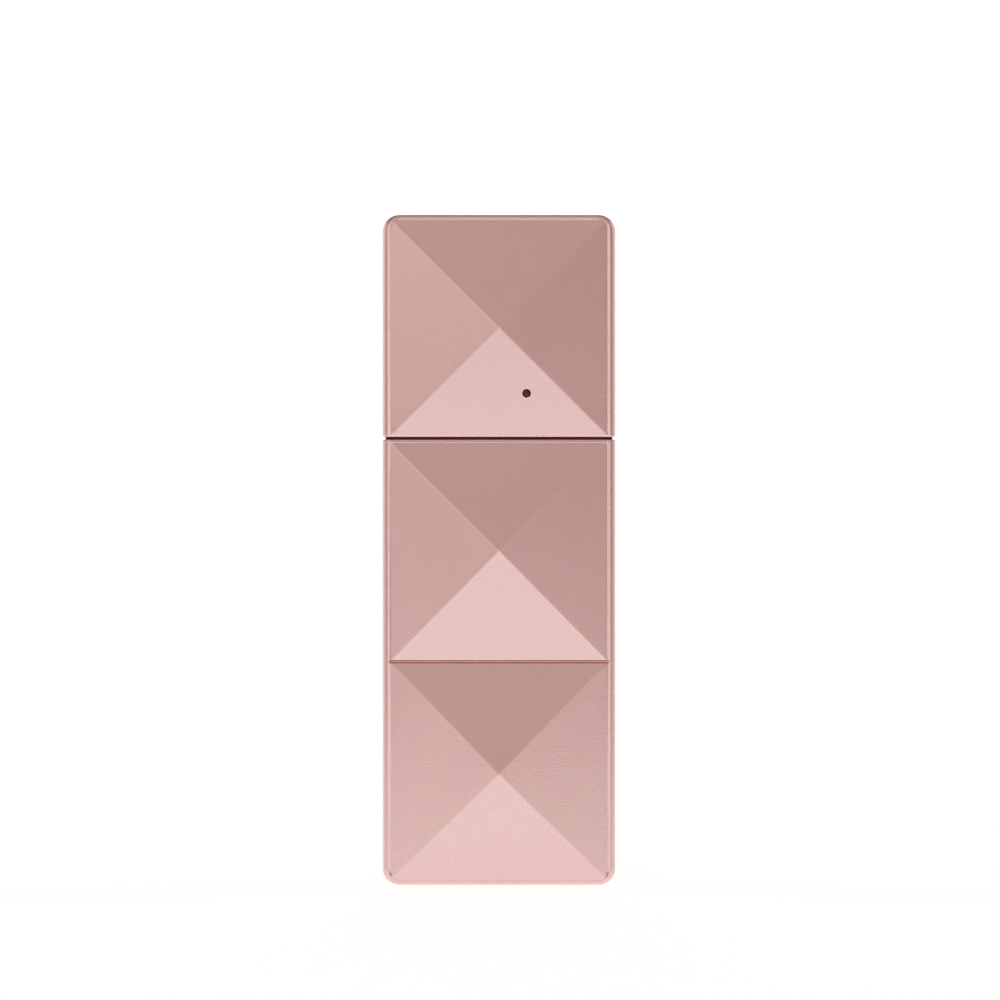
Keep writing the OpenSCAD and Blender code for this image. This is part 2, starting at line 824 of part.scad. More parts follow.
// Charging socket in the base
module usb_socket_shell() {
    color(steel) difference() {
        bar(usb_w, usb_h, usb_r, usb_z[0], usb_z[1], usb_y);
        bar(usb_w - 2 * usb_wall, usb_h - 2 * usb_wall, usb_r - usb_wall,
            usb_z[0] - 1, usb_z[1] - 0.8, usb_y);
    }
}

module usb_socket_tongue() {
    color(chip_black) bar(6.7, 0.7, 0.3, usb_z[0] + 0.7, usb_z[1] - 0.82, usb_y);
}

module usb_gasket() {
    color(silicone) difference() {
        bar(usb_w + 2, usb_h + 1.6, usb_r + 0.6, wall, wall + 0.9, usb_y);
        bar(usb_w + 0.04, usb_h + 0.04, usb_r, 0, 5, usb_y);
    }
}

// Pan-head screw along Y with a cross recess
module screw(x, z, r, y0, head_y, head_r, head_h) {
    difference() {
        union() {
            rod_y(x, z, r, y0, head_y + 0.2);
            rod_y(x, z, head_r, head_y, head_y + head_h);
        }
        for (turn = [0, 90])
            translate([x, head_y + head_h, z]) rotate([0, turn, 0])
                cube([head_r * 1.1, head_h * 0.9, head_r * 0.25], center = true);
    }
}

module case_screws() {
    color("#8d8f94") for (s = [-1, 1], z = boss_z)
        screw(s * boss_x, z, case_screw_r, case_screw_end, case_head_y, case_head_r, case_head_h);
}

module screw_plugs() {
    color(rose_dark) for (s = [-1, 1], z = boss_z)
        rod_y(s * boss_x, z, counterbore_r - 0.04, back_y - 0.1 - plug_h, back_y - 0.1);
}

module board_screws() {
    color("#8d8f94") for (s = [-1, 1], z = post_z)
        screw(s * post_x, z, board_screw_r, chassis_y + 0.2, board_back, 1.4, 0.8);
}

cap_shell();
cap_liner();
cap_window();
front_shell();
rear_shell();
control_panel();
neck_collar();
neck_seal_ring();
seam_gasket();
blade();
blade_grommet();
blade_pins();
transducer_horn();
piezo_rings();
electrode_tabs();
transducer_rear_mass();
transducer_bolt();
bolt_sleeve();
isolation_rings();
transducer_leads();
chassis();
battery_cell();
battery_foam();
battery_protection_board();
battery_leads();
battery_connector();
main_board();
controller_chip();
charger_chip();
drive_transistors();
transformer_core();
transformer_winding();
boost_inductor();
capacitors();
tact_switches();
indicator_leds();
indicator_light_pipes();
neck_light_pipe();
neck_led();
neck_light_board();
neck_light_leads();
usb_socket_shell();
usb_socket_tongue();
usb_gasket();
case_screws();
screw_plugs();
board_screws();
button_seal(power_z);  // power_button_seal
button_seal(mode_z);  // mode_button_seal
button(power_z);  // power_button
switch_stem(power_z);  // power_switch_stem
button(mode_z);  // mode_button
switch_stem(mode_z);  // mode_switch_stem
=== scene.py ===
# %% [markdown]
# # An ultrasonic skin scrubber with a pyramid front
# The real object is a slim handle with a pull-off cap over a steel blade. Three shallow
# pyramids run up its front in satin rose metallic paint. The design, the sizes and the moving
# joints come from the CAD frame, which is loaded first. Everything after that is looks: finer
# skins for the parts that are seen, and a finish for every part inside.

# %% Load the frame
import bpy
import math
import numpy as np
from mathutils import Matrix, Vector


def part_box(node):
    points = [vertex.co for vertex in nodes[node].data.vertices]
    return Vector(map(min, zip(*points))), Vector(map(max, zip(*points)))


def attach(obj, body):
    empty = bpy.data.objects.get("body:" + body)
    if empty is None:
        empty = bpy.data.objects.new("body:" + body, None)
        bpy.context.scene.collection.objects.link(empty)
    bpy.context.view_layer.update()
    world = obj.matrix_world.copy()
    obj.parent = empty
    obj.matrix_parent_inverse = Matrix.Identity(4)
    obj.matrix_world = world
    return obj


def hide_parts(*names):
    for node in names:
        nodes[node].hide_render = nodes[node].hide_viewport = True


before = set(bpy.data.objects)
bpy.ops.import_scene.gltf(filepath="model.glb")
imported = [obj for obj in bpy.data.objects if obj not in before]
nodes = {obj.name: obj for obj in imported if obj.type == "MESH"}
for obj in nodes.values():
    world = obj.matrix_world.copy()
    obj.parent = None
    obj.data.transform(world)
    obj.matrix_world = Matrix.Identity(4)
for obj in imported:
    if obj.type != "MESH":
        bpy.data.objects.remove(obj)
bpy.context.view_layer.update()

imported_materials = list(bpy.data.materials)
mm = 0.001

# %% [markdown]
# ## Landmarks
# Every position is read from the boxes of the CAD parts, so that the new skins land exactly
# where the design says. The front shell and the rear shell meet at the parting plane, and the
# cap starts a small gap above the handle.

# %% Landmarks taken from the CAD parts
cap_low, cap_high = (np.array(c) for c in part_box("cap_shell"))
front_low, front_high = (np.array(c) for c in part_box("front_shell"))
rear_low, rear_high = (np.array(c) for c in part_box("rear_shell"))

half_w = front_high[0]
tip_y = front_low[1]
back_y = rear_high[1]
part_y = rear_low[1]
handle_top = front_high[2]
cap_foot = cap_low[2]
total_h = cap_high[2]
pyramid_h = 3.0 * mm
rim_y = tip_y + pyramid_h
wall = 1.6 * mm
inner_front = rim_y + wall
inner_back = back_y - wall
third = total_h / 3
print("rim plane", rim_y / mm, "parting plane", part_y / mm, "third", round(third / mm, 2))

# %% [markdown]
# ## Turning arrays into meshes
# A skin is a stack of closed rings with the same number of points. Two neighbouring rings are
# joined by four-sided faces, and the first and last ring are closed by one flat face each.
# Working on whole arrays keeps the code short, and the sign of the enclosed volume tells
# whether the faces point outwards.

# %% From rings to a mesh
def fan(face):
    """Triangles from the first corner of a face to each side that doesn't touch that corner."""
    return np.stack([np.full(len(face) - 2, face[0]), face[1:-1], face[2:]], -1)


def enclosed_volume(points, quads, lids):
    """Sum over all triangles of the signed volume of the pyramid from the origin to the triangle."""
    triangles = np.concatenate([quads[:, :3], quads[:, [0, 2, 3]], *(fan(lid) for lid in lids)])
    a, b, c = points[triangles].transpose(1, 0, 2)
    return np.einsum("ij,ij->", a, np.cross(b, c)) / 6


def ring_faces(count, length):
    """Four-sided faces between neighbouring rings of a grid that wraps round, and its two lids."""
    i, k = np.meshgrid(np.arange(count - 1), np.arange(length), indexing="ij")
    right = (k + 1) % length
    here, above = i * length, (i + 1) * length
    quads = np.stack([here + k, here + right, above + right, above + k], -1)
    first = np.arange(length)
    return quads.reshape(-1, 4), [first[::-1], first + (count - 1) * length]


def solid_from_rings(name, rings):
    """Closed solid through rings, an array of rings x points x 3, with its faces outwards."""
    count, length, _ = rings.shape
    points = rings.reshape(-1, 3)
    quads, lids = ring_faces(count, length)
    faces = quads.tolist() + [lid.tolist() for lid in lids]
    if enclosed_volume(points, quads, lids) < 0:
        faces = [face[::-1] for face in faces]
    mesh = bpy.data.meshes.new(name)
    mesh.from_pydata(points.tolist(), [], faces)
    mesh.update()
    piece = bpy.data.objects.new(name, mesh)
    bpy.context.scene.collection.objects.link(piece)
    return piece


print("a box of two rings with four points has", len(ring_faces(2, 4)[0]), "side faces and 2 lids")

# %% [markdown]
# ## Joining, cutting and breaking edges
# A moulded shell is a plain body with bosses joined on and openings cut out. Exact booleans do
# both, and the result is stored as the piece's own mesh. A live bevel then rounds the crisp
# edges that are left, because a real moulding has none, and weighted normals keep flats flat.

# %% Carving one solid with others
def settle(piece):
    """Replaces a piece's mesh by the result of its modifiers, and clears them."""
    evaluated = piece.evaluated_get(bpy.context.evaluated_depsgraph_get())
    mesh = bpy.data.meshes.new_from_object(evaluated)
    piece.modifiers.clear()
    old, piece.data = piece.data, mesh
    bpy.data.meshes.remove(old)
    mesh.name = piece.name


def carve(piece, tools, operation):
    """Joins tools to a piece or cuts them out of it, one exact boolean each."""
    for tool in tools:
        step = piece.modifiers.new("carve", "BOOLEAN")
        step.operation = operation
        step.solver = "EXACT"
        step.object = tool
    settle(piece)
    for tool in tools:
        bpy.data.objects.remove(tool)


def finish_edges(piece, width, sharp_angle=28, segments=2):
    """Rounds every crisp edge by width and keeps the flats flat."""
    mesh = piece.data
    mesh.shade_smooth()
    bevel = piece.modifiers.new("edge", "BEVEL")
    bevel.width = width
    bevel.segments = segments
    bevel.limit_method = "ANGLE"
    bevel.angle_limit = math.radians(sharp_angle)
    bevel.miter_outer = "MITER_ARC"
    weights = piece.modifiers.new("flats", "WEIGHTED_NORMAL")
    weights.weight = 100
    weights.keep_sharp = True


print("edges are rounded where faces meet at more than", finish_edges.__defaults__[0], "degrees")

# %% [markdown]
# ## Outlines
# The body's outline is a rectangle with rounded corners, larger at its free end and almost
# square at the seam, where the cap and the handle meet. Each ring of a shell is this outline,
# drawn in by some inset on its sides and its two ends.

# %% Rounded rectangle in the plane of the front
CORNER_STEPS = 9


def outline(half, low, high, r_low, r_high):
    """Quarter circles of radius r_low and r_high at the corners of a rectangle, anticlockwise."""
    turn = np.linspace(0, math.pi / 2, CORNER_STEPS)
    corners = [
        (half - r_low, low + r_low, r_low, -math.pi / 2),
        (half - r_high, high - r_high, r_high, 0),
        (r_high - half, high - r_high, r_high, math.pi / 2),
        (r_low - half, low + r_low, r_low, math.pi),
    ]
    return np.concatenate([
        np.stack([cx + r * np.cos(start + turn), cz + r * np.sin(start + turn)], -1)
        for cx, cz, r, start in corners
    ])


def flat_ring(points_xz, y):
    """Lays an outline in the plane at depth y."""
    return np.stack([points_xz[:, 0], np.full(len(points_xz), y), points_xz[:, 1]], -1)


print("an outline has", 4 * CORNER_STEPS, "points")

# %% [markdown]
# ## Edge profile
# Seen from the side, the edge of the moulding goes through these stations: the floor under
# the pyramids, a narrow bright rim that frames them, a rolled edge, the straight side wall and
# a softer roll to the back. The roll is wide on the long sides, tighter on the free end and
# only a broken edge at the seam.

# %% Stations of the edge profile
FREE_R = 3.1 * mm
SEAM_R = 0.35 * mm
ROLL_SIDE, ROLL_FREE, ROLL_SEAM = 1.0 * mm, 0.45 * mm, 0.16 * mm
RIM_W = 0.33 * mm
RIM_DROP = 0.07 * mm
BACK_R = 2.4 * mm
PART_BREAK = 0.12 * mm
TOP_EASE = 1.4 * mm
TOP_LEAN, SEAM_LEAN = 0.16 * mm, 0.05 * mm


def ring_at(low, high, free_end_high, side, free, seam, y, lean=0.0):
    """Outline of a moulding at depth y, drawn in by side, free and seam.

    Its top edge is pushed back by lean, fading to nothing over TOP_EASE.
    """
    r_free = max(FREE_R - (side + free) / 2, 0.5 * mm)
    r_seam = SEAM_R
    if free_end_high:
        points = outline(half_w - side, low + seam, high - free, r_seam, r_free)
    else:
        points = outline(half_w - side, low + free, high - seam, r_free, r_seam)
    ring = flat_ring(points, y)
    ring[:, 1] += lean * np.clip((points[:, 1] - high + TOP_EASE) / TOP_EASE, 0, 1)
    return ring


def front_stations(free_end_high):
    """Insets and depth from the pyramid floor over the rim and down the rolled front edge.

    Along the top of the cap the rim starts level with the floor and leans back.
    """
    rim_in = np.array([ROLL_SIDE, ROLL_FREE, ROLL_SEAM]) + RIM_W
    ease = 0.03 * mm
    level = RIM_DROP if free_end_high else 0.0
    yield (*(rim_in + ease), rim_y + RIM_DROP)
    yield (*(rim_in + ease / 2), rim_y + RIM_DROP / 2, level / 2)
    yield (*(rim_in - ease / 2), rim_y, level)
    for turn in np.radians([0, 11, 22, 34, 46, 58, 70, 80, 90]):
        fade = 1 - math.sin(turn)
        seam = ROLL_SEAM * max(0.0, 1 - math.sin(min(3 * turn, math.pi / 2)))
        lean = (TOP_LEAN if free_end_high else SEAM_LEAN) * fade
        yield (ROLL_SIDE * fade, ROLL_FREE * fade, seam, rim_y + ROLL_SIDE * (1 - math.cos(turn)), lean)


def back_stations():
    """Insets and depth from the side wall round the back edge to the flat back."""
    for turn in np.radians(np.linspace(0, 90, 13)):
        inset = BACK_R * (1 - math.cos(turn))
        seam = ROLL_SEAM * (1 - math.cos(max(0.0, 3 * turn - math.pi)))
        yield (inset, inset, seam, back_y - BACK_R * (1 - math.sin(turn)))


print("the edge has", len([*front_stations(True), *back_stations()]), "stations")

# %% [markdown]
# ## Pyramids
# Each pyramid is a low pad with four flat facets. Lines run from the tip to the outline and
# crowd together towards the four corners, so that the ridges can be slightly rounded there
# and catch a fine line of light, while the facets stay flat with very few faces.

# %% Height of a pyramid and its pad
RIDGE_SOFTNESS = 0.014 * mm
TIP_STEPS = [0.0005, 0.004, 0.01, 0.02, 0.04, 0.08, 0.16, 0.3, 0.5, 0.75, 0.93, 1.0]
SIDE_POINTS = 26
PAD_EDGE = 0.2 * mm
PAD_SINK = 0.03 * mm


def facet_height(x, z, half, low, high, apex):
    """Lowest of four sloping planes, blended by a soft minimum so that the ridges are round."""
    across = [(half - x) / half, (half + x) / half]
    along = [(z - low) / (apex - low), (high - z) / (high - apex)]
    planes = np.stack(across + along)
    k = pyramid_h / RIDGE_SOFTNESS
    return -pyramid_h * np.log(np.exp(-k * planes).sum(0)) / k


def pad_outline(half, low, high, r_low, r_high, apex):
    """Points of a rounded rectangle, met by rays from the tip that crowd towards the corners."""
    s = np.linspace(-1, 1, SIDE_POINTS)[:-1]
    t = np.sign(s) * (1 - (1 - np.abs(s)) ** 3)
    x = np.concatenate([half * t, np.full_like(t, half), -half * t, np.full_like(t, -half)])
    up = np.where(t < 0, apex + t * (apex - low), apex + t * (high - apex))
    down = np.where(t < 0, apex - t * (high - apex), apex - t * (apex - low))
    z = np.concatenate([np.full_like(t, low), up, np.full_like(t, high), down])
    r = np.where(z < apex, r_low, r_high)
    cx = np.sign(x) * (half - r)
    cz = np.where(z < apex, low + r, high - r)
    inside = (np.abs(x) > half - r) & (np.where(z < apex, cz - z, z - cz) > 0)
    dx, dz = x, z - apex
    a = dx ** 2 + dz ** 2
    b = dx * -cx + dz * (apex - cz)
    c = cx ** 2 + (apex - cz) ** 2 - r ** 2
    reach = (-b + np.sqrt(np.maximum(b ** 2 - a * c, 0))) / a
    reach = np.where(inside, np.minimum(reach, 1), 1)
    return np.stack([x * reach, apex + dz * reach], -1)


def pyramid_pad(name, half, low, high, r_low, r_high, apex):
    """Rings from the tip out along the facets, over a small rounded edge and down into the floor."""
    edge = pad_outline(half, low, high, r_low, r_high, apex)
    centre = np.array([0, apex])
    rings = []
    base_y = rim_y + PAD_SINK
    for f in TIP_STEPS:
        p = centre + f * (edge - centre)
        h = facet_height(p[:, 0], p[:, 1], half, low, high, apex)
        rings.append(np.stack([p[:, 0], base_y - h * (pyramid_h + PAD_SINK) / pyramid_h, p[:, 1]], -1))
    top = rings[-1]
    away = edge - centre
    away = away / np.abs(away).max(1, keepdims=True)
    for turn in np.radians([30, 60, 90]):
        grow = PAD_EDGE * math.sin(turn)
        drop = PAD_EDGE * (1 - math.cos(turn))
        x, y, z = top.T
        rings.append(np.stack([x + away[:, 0] * grow, y + drop, z + away[:, 1] * grow], -1))
    last = rings[-1]
    rings.append(np.stack([last[:, 0], np.full(len(last), rim_y + wall / 2), last[:, 2]], -1))
    return solid_from_rings(name, np.array(rings))


print("a pyramid has", len(TIP_STEPS), "rings of", 4 * (SIDE_POINTS - 1), "points")

# %% [markdown]
# ## Plain tool shapes
# Holes, bosses and hollows are simple solids of their own: a rod along the depth of the
# handle, and an upright bar with rounded corners. They are joined to the shells or cut from
# them, as a mould's core pins and sliders do.

# %% Rods and bars
def rod(x, z, radius, y_from, y_to, sides=48):
    """Cylinder along the depth, as two rings."""
    turn = np.linspace(0, 2 * math.pi, sides, endpoint=False)
    circle = np.stack([x + radius * np.cos(turn), z + radius * np.sin(turn)], -1)
    return solid_from_rings("tool", np.array([flat_ring(circle, y) for y in (y_from, y_to)]))


def bar(width, depth, radius, z_from, z_to, y_mid, flare=0.0):
    """Upright bar with a rounded section, widened at its lower end by flare."""
    def section(grow, z):
        reach = depth / 2 + grow
        points = outline(width / 2 + grow, y_mid - reach, y_mid + reach, radius, radius)
        return np.stack([points[:, 0], points[:, 1], np.full(len(points), z)], -1)
    rings = [section(flare, z_from), section(0, z_from + flare)] if flare else [section(0, z_from)]
    return solid_from_rings("tool", np.array([*rings, section(0, z_to)]))


print("room inside the walls, in mm:", round(2 * (half_w - wall) / mm, 1), "wide")

# %% [markdown]
# ## The cap
# The cap is one moulding with a single pyramid. It is made as a full block, its pyramid is
# joined on, and then the hollow for the neck and blade and the small round window are cut out.

# %% Cap shell
APEX_DROP = 0.15 * mm
PAD_GAP = 0.05 * mm
pad_half = half_w - ROLL_SIDE - RIM_W - PAD_GAP - PAD_EDGE
pad_free = ROLL_FREE + RIM_W + PAD_GAP + PAD_EDGE
pad_seam = ROLL_SEAM + RIM_W + PAD_GAP + PAD_EDGE
pad_foot = ROLL_SEAM + PAD_GAP + PAD_EDGE
body_mid_y = (rim_y + back_y) / 2
inner_w = 2 * (half_w - wall)
inner_d = back_y - rim_y - 2 * wall

window_low, window_high = (np.array(c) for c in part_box("cap_window"))
window_x = (window_low[0] + window_high[0]) / 2
window_z = (window_low[2] + window_high[2]) / 2
CORNER_FREE, CORNER_SEAM, CORNER_VALLEY = 1.7 * mm, 0.5 * mm, 0.3 * mm

stations = [*front_stations(True), *back_stations()]
cap = solid_from_rings("cap_skin", np.array([
    ring_at(cap_foot, total_h, True, *station) for station in stations]))
apex = 2.5 * third - APEX_DROP
pad = pyramid_pad("pad", pad_half, cap_foot + pad_foot, total_h - pad_free,
    CORNER_SEAM, CORNER_FREE, apex)
carve(cap, [pad], "UNION")
hollow = bar(inner_w, inner_d, 1.5 * mm, cap_foot - mm, total_h - wall, body_mid_y)
hole = rod(window_x, window_z, 0.8 * mm, tip_y, body_mid_y)
carve(cap, [hollow, hole], "DIFFERENCE")
finish_edges(cap, 0.06 * mm)
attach(cap, "cap")
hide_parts("cap_shell")
print("cap faces", len(cap.data.polygons))

# %% [markdown]
# ## The handle shells
# The handle is two trays that meet half-way back. The front tray carries two pyramids with a
# shallow valley between them; the rear tray has the openings for the buttons, their panel, the
# indicator lights and the screws.

# %% Front shell of the handle
def tray(name, outside, inside_y):
    """Closed tray: the outside stations, then the inner wall down to its floor."""
    lip_y = outside[-1][3]
    inner = (wall, wall, wall)
    rings = [*outside, (*inner, lip_y), (*inner, inside_y)]
    return solid_from_rings(name, np.array([ring_at(0, handle_top, False, *r) for r in rings]))


screw_low, screw_high = (np.array(c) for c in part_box("case_screws"))
boss_x = screw_high[0] - 1.8 * mm
boss_z = (screw_low[2] + 1.8 * mm, screw_high[2] - 1.8 * mm)
bosses = [(side * boss_x, z) for side in (-1, 1) for z in boss_z]
usb_low, usb_high = (np.array(c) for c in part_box("usb_socket_shell"))
usb_y = (usb_low[1] + usb_high[1]) / 2
neck_w, neck_d = 36.1 * mm, 11.1 * mm
usb_w, usb_t, usb_r = 9.24 * mm, 3.56 * mm, 1.2 * mm


def neck_tool():
    """Opening in the top deck that the neck passes through."""
    return bar(neck_w, neck_d, 3 * mm, handle_top - 3 * mm, handle_top + 2 * mm, body_mid_y)


def usb_tool():
    """Opening in the base for the charging plug, with a flared mouth."""
    return bar(usb_w, usb_t, usb_r, -0.05 * mm, 3 * mm, usb_y, flare=0.45 * mm)


front = tray("front_skin", [*front_stations(False), (0, 0, 0, part_y - PART_BREAK),
    (PART_BREAK, PART_BREAK, 0, part_y)], inner_front)
VALLEY = 0.22 * mm
POST_R, PILOT_R = 2.2 * mm, 1.02 * mm
OVERLAP, PLAY = 0.2 * mm, 0.01 * mm
pilot_y = screw_low[1] - 0.3 * mm
pads = [
    pyramid_pad("pad", pad_half, pad_free, third - VALLEY, CORNER_FREE, CORNER_VALLEY,
        0.5 * third - APEX_DROP),
    pyramid_pad("pad", pad_half, third + VALLEY, handle_top - pad_seam, CORNER_VALLEY, CORNER_SEAM,
        1.5 * third - APEX_DROP),
]
posts = [rod(x, z, POST_R, inner_front - OVERLAP, part_y - PLAY) for x, z in bosses]
carve(front, pads + posts, "UNION")
pilots = [rod(x, z, PILOT_R, pilot_y, part_y + mm) for x, z in bosses]
valley = solid_from_rings("tool", np.array([
    flat_ring(outline(pad_half + PAD_EDGE + w / 2, third - w, third + w, r, r), y)
    for w, r, y in ((0.62 * mm, 0.3 * mm, rim_y - 0.5 * mm), (0.32 * mm, 0.1 * mm, rim_y),
        (0.03 * mm, 0.01 * mm, rim_y + 0.7 * mm))]))
carve(front, [neck_tool(), usb_tool(), valley, *pilots], "DIFFERENCE")
finish_edges(front, 0.06 * mm)
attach(front, "handle")
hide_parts("front_shell")
print("front faces", len(front.data.polygons))

# %% [markdown]
# ## The rear shell
# The rear tray closes the handle. It is built the same way, with its rings in the other order,
# from the inner wall out over the parting edge and round the back. Its sleeves meet the posts
# of the front shell, and its screw holes are wider near the outside, for the heads and plugs.

# %% Rear shell of the handle
power_low, power_high = (np.array(c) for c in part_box("power_button"))
mode_low, mode_high = (np.array(c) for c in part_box("mode_button"))
power_z = (power_low[2] + power_high[2]) / 2
mode_z = (mode_low[2] + mode_high[2]) / 2
light_z = (power_z + mode_z) / 2
light_x = (-3 * mm, 0.0, 3 * mm)
button_r = 4.8 * mm
button_hole_r = button_r + 0.1 * mm
LIGHT_R, CAPSULE_R = 0.65 * mm, 7 * mm
SLEEVE_R, HEAD_R, SHANK_R = 2.5 * mm, 1.9 * mm, 1.1 * mm
head_y = screw_high[1] - 1.3 * mm


def capsule(radius, y_from, y_to):
    """Slot shape round both buttons: two half circles joined by straight sides."""
    points = outline(radius, mode_z - radius, power_z + radius, radius - 1e-6, radius - 1e-6)
    return solid_from_rings("tool", np.array([flat_ring(points, y) for y in (y_from, y_to)]))


rear = solid_from_rings("rear_skin", np.array([ring_at(0, handle_top, False, *r) for r in [
    (wall, wall, wall, inner_back), (wall, wall, wall, part_y), (PART_BREAK, PART_BREAK, 0, part_y),
    (0, 0, 0, part_y + PART_BREAK), *back_stations()]]))
posts = [rod(x, z, SLEEVE_R, part_y + PLAY, inner_back + OVERLAP) for x, z in bosses]
carve(rear, posts, "UNION")
holes = [rod(0, z, button_hole_r, part_y, back_y + mm) for z in (power_z, mode_z)]
holes += [rod(x, light_z, LIGHT_R, part_y, back_y + mm, 24) for x in light_x]
holes += [rod(x, z, HEAD_R, head_y, back_y + mm) for x, z in bosses]
holes += [rod(x, z, SHANK_R, part_y - mm, back_y, 24) for x, z in bosses]
panel_bed = capsule(CAPSULE_R, back_y - 0.7 * mm, back_y + mm)
carve(rear, [neck_tool(), usb_tool(), panel_bed, *holes], "DIFFERENCE")
finish_edges(rear, 0.08 * mm)
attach(rear, "handle")
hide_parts("rear_shell")
print("rear faces", len(rear.data.polygons))

# %% [markdown]
# ## Buttons, panel and window
# The controls sit on the back, where the fingers of the holding hand reach them. Each button
# is a dished disc with a flange that keeps it behind the wall, and it carries a plain engraved
# mark, as a mould insert would leave. They are turned shapes: a profile spun about its axis.

# %% Turned shapes
def turned(name, x, z, profile, sides=72):
    """Profile of (radius, depth) points spun about an axis along the depth, through (x, z)."""
    turn = np.linspace(0, 2 * math.pi, sides, endpoint=False)
    r, y = np.array(profile).T
    rings = np.stack([x + np.outer(r, np.cos(turn)), np.repeat(y[:, None], sides, 1),
        z + np.outer(r, np.sin(turn))], -1)
    return solid_from_rings(name, rings)


def arc_bar(x, z, radius, width, start, end, y_from, y_to, steps=40):
    """Curved bar of constant width along part of a circle, as a tool."""
    turn = np.radians(np.linspace(start, end, steps))
    turn = np.concatenate([turn, turn[::-1]])
    r = np.repeat([radius - width / 2, radius + width / 2], steps)
    loop = np.stack([x + r * np.cos(turn), z + r * np.sin(turn)], -1)
    return solid_from_rings("tool", np.array([flat_ring(loop, y) for y in (y_from, y_to)]))


def straight_bar(x, z, width, height, y_from, y_to):
    """Upright bar with fully rounded ends, as a tool."""
    r = width / 2 - 1e-6
    loop = outline(width / 2, z - height / 2, z + height / 2, r, r) + np.array([x, 0])
    return solid_from_rings("tool", np.array([flat_ring(loop, y) for y in (y_from, y_to)]))


print("button axes stand at", round(mode_z / mm, 1), "and", round(power_z / mm, 1), "mm above the base")

# %% [markdown]
# ## The two buttons
# A finger finds a dished button by touch. The profile runs from the flange under the wall up
# the side, over a small round and down into a shallow dish, whose depth falls off with the
# square of the radius. The power mark is an open ring with a stroke, the mode mark three bars
# of growing height. Both are grooves, so they stay sharp in any light.

# %% Power button and mode button
DISH = 0.35 * mm
MARK_W = 0.42 * mm
MARK_DEPTH = 0.15 * mm
FLANGE_T = 0.6 * mm
BUTTON_ROUND = 0.3 * mm
MODE_BARS = ((-1.1 * mm, 1.3 * mm), (0.0, 2.1 * mm), (1.1 * mm, 2.9 * mm))
flange_r = power_high[0]


def button_profile():
    """From the flange's underside round its edge, up the side, over a small round and into the dish."""
    foot, top = power_low[1], power_high[1]
    yield (flange_r, foot)
    yield (flange_r, foot + FLANGE_T)
    yield (button_r, foot + FLANGE_T)
    for turn in np.radians([0, 22, 45, 67, 90]):
        inset, drop = BUTTON_ROUND * (1 - math.cos(turn)), BUTTON_ROUND * (1 - math.sin(turn))
        yield (button_r - inset, top - drop)
    for f in (0.97, 0.9, 0.8, 0.65, 0.5, 0.3, 0.1):
        yield (f * (button_r - BUTTON_ROUND), top - DISH * (1 - f ** 2))


mark_y = (power_high[1] - DISH - MARK_DEPTH, back_y + mm)
buttons = {}
for body, z in (("power_button", power_z), ("mode_button", mode_z)):
    piece = turned(body + "_cap", 0, z, list(button_profile()))
    if body == "power_button":
        marks = [arc_bar(0, z, 1.5 * mm, MARK_W, 125, 415, *mark_y),
            straight_bar(0, z + 1.1 * mm, MARK_W, 1.7 * mm, *mark_y)]
    else:
        marks = [straight_bar(x, z, MARK_W, tall, *mark_y) for x, tall in MODE_BARS]
    carve(piece, marks, "DIFFERENCE")
    finish_edges(piece, 0.04 * mm)
    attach(piece, body)
    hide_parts(body)
    buttons[body] = piece
print("button faces", [len(piece.data.polygons) for piece in buttons.values()])

# %% [markdown]
# ## The panel round the buttons
# A thin plate with two half-round ends sits in its bed on the back and frames the buttons and
# the three small lights. The same slot shape that cut the bed makes the plate, from the sizes
# of the CAD part.

# %% Panel round the buttons
panel_low, panel_high = (np.array(c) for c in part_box("control_panel"))
panel = capsule(panel_high[0], panel_low[1], panel_high[1])
panel.name = "panel_plate"
holes = [rod(0, z, button_hole_r, panel_low[1] - mm, back_y + mm, 72) for z in (power_z, mode_z)]
holes += [rod(x, light_z, LIGHT_R, panel_low[1] - mm, back_y + mm, 24) for x in light_x]
carve(panel, holes, "DIFFERENCE")
finish_edges(panel, 0.1 * mm, segments=3)
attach(panel, "handle")
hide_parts("control_panel")
print("panel is", round(2 * panel_high[0] / mm, 1), "mm wide")

# %% [markdown]
# ## The window of the cap
# The dark dot is the end of a tinted light pipe. It is a turned shape with a flange that rests
# against the inside of the cap and a domed end that sits a little below the facet. The
# facet's slope gives the depth of the hole at the height of the window.

# %% Window of the cap, a small domed lens on a flange
window_r = 0.75 * mm
FLANGE_R = 1.5 * mm
slope = pyramid_h / (2.5 * third - APEX_DROP - cap_foot - pad_foot)
hole_y = rim_y - slope * (window_z - cap_foot - pad_foot)
flange_y = window_high[1]
lens_profile = [(0.1 * mm, flange_y), (FLANGE_R, flange_y), (FLANGE_R, flange_y - 0.5 * mm),
    (window_r, flange_y - 0.5 * mm), (window_r, hole_y + 0.55 * mm),
    (0.68 * mm, hole_y + 0.45 * mm), (0.5 * mm, hole_y + 0.36 * mm),
    (0.25 * mm, hole_y + 0.31 * mm), (0.05 * mm, hole_y + 0.3 * mm)]
lens_piece = turned("window_lens", window_x, window_z, lens_profile, 48)
lens_piece.data.shade_smooth()
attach(lens_piece, "cap")
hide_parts("cap_window")
print("the facet is", round(hole_y / mm, 2), "mm deep at the window")

# %% [markdown]
# ## Materials
# Each finish is a small node graph on object coordinates, in metres, so that its grain has a
# true size on every part.

# %% Helpers for node materials
def start_material(name):
    """Empty node material with a Principled shader, and its object coordinates."""
    mat = bpy.data.materials.new(name)
    mat.use_nodes = True
    tree = mat.node_tree
    shader = tree.nodes["Principled BSDF"]
    coords = tree.nodes.new("ShaderNodeTexCoord").outputs["Object"]
    return mat, tree, shader, coords


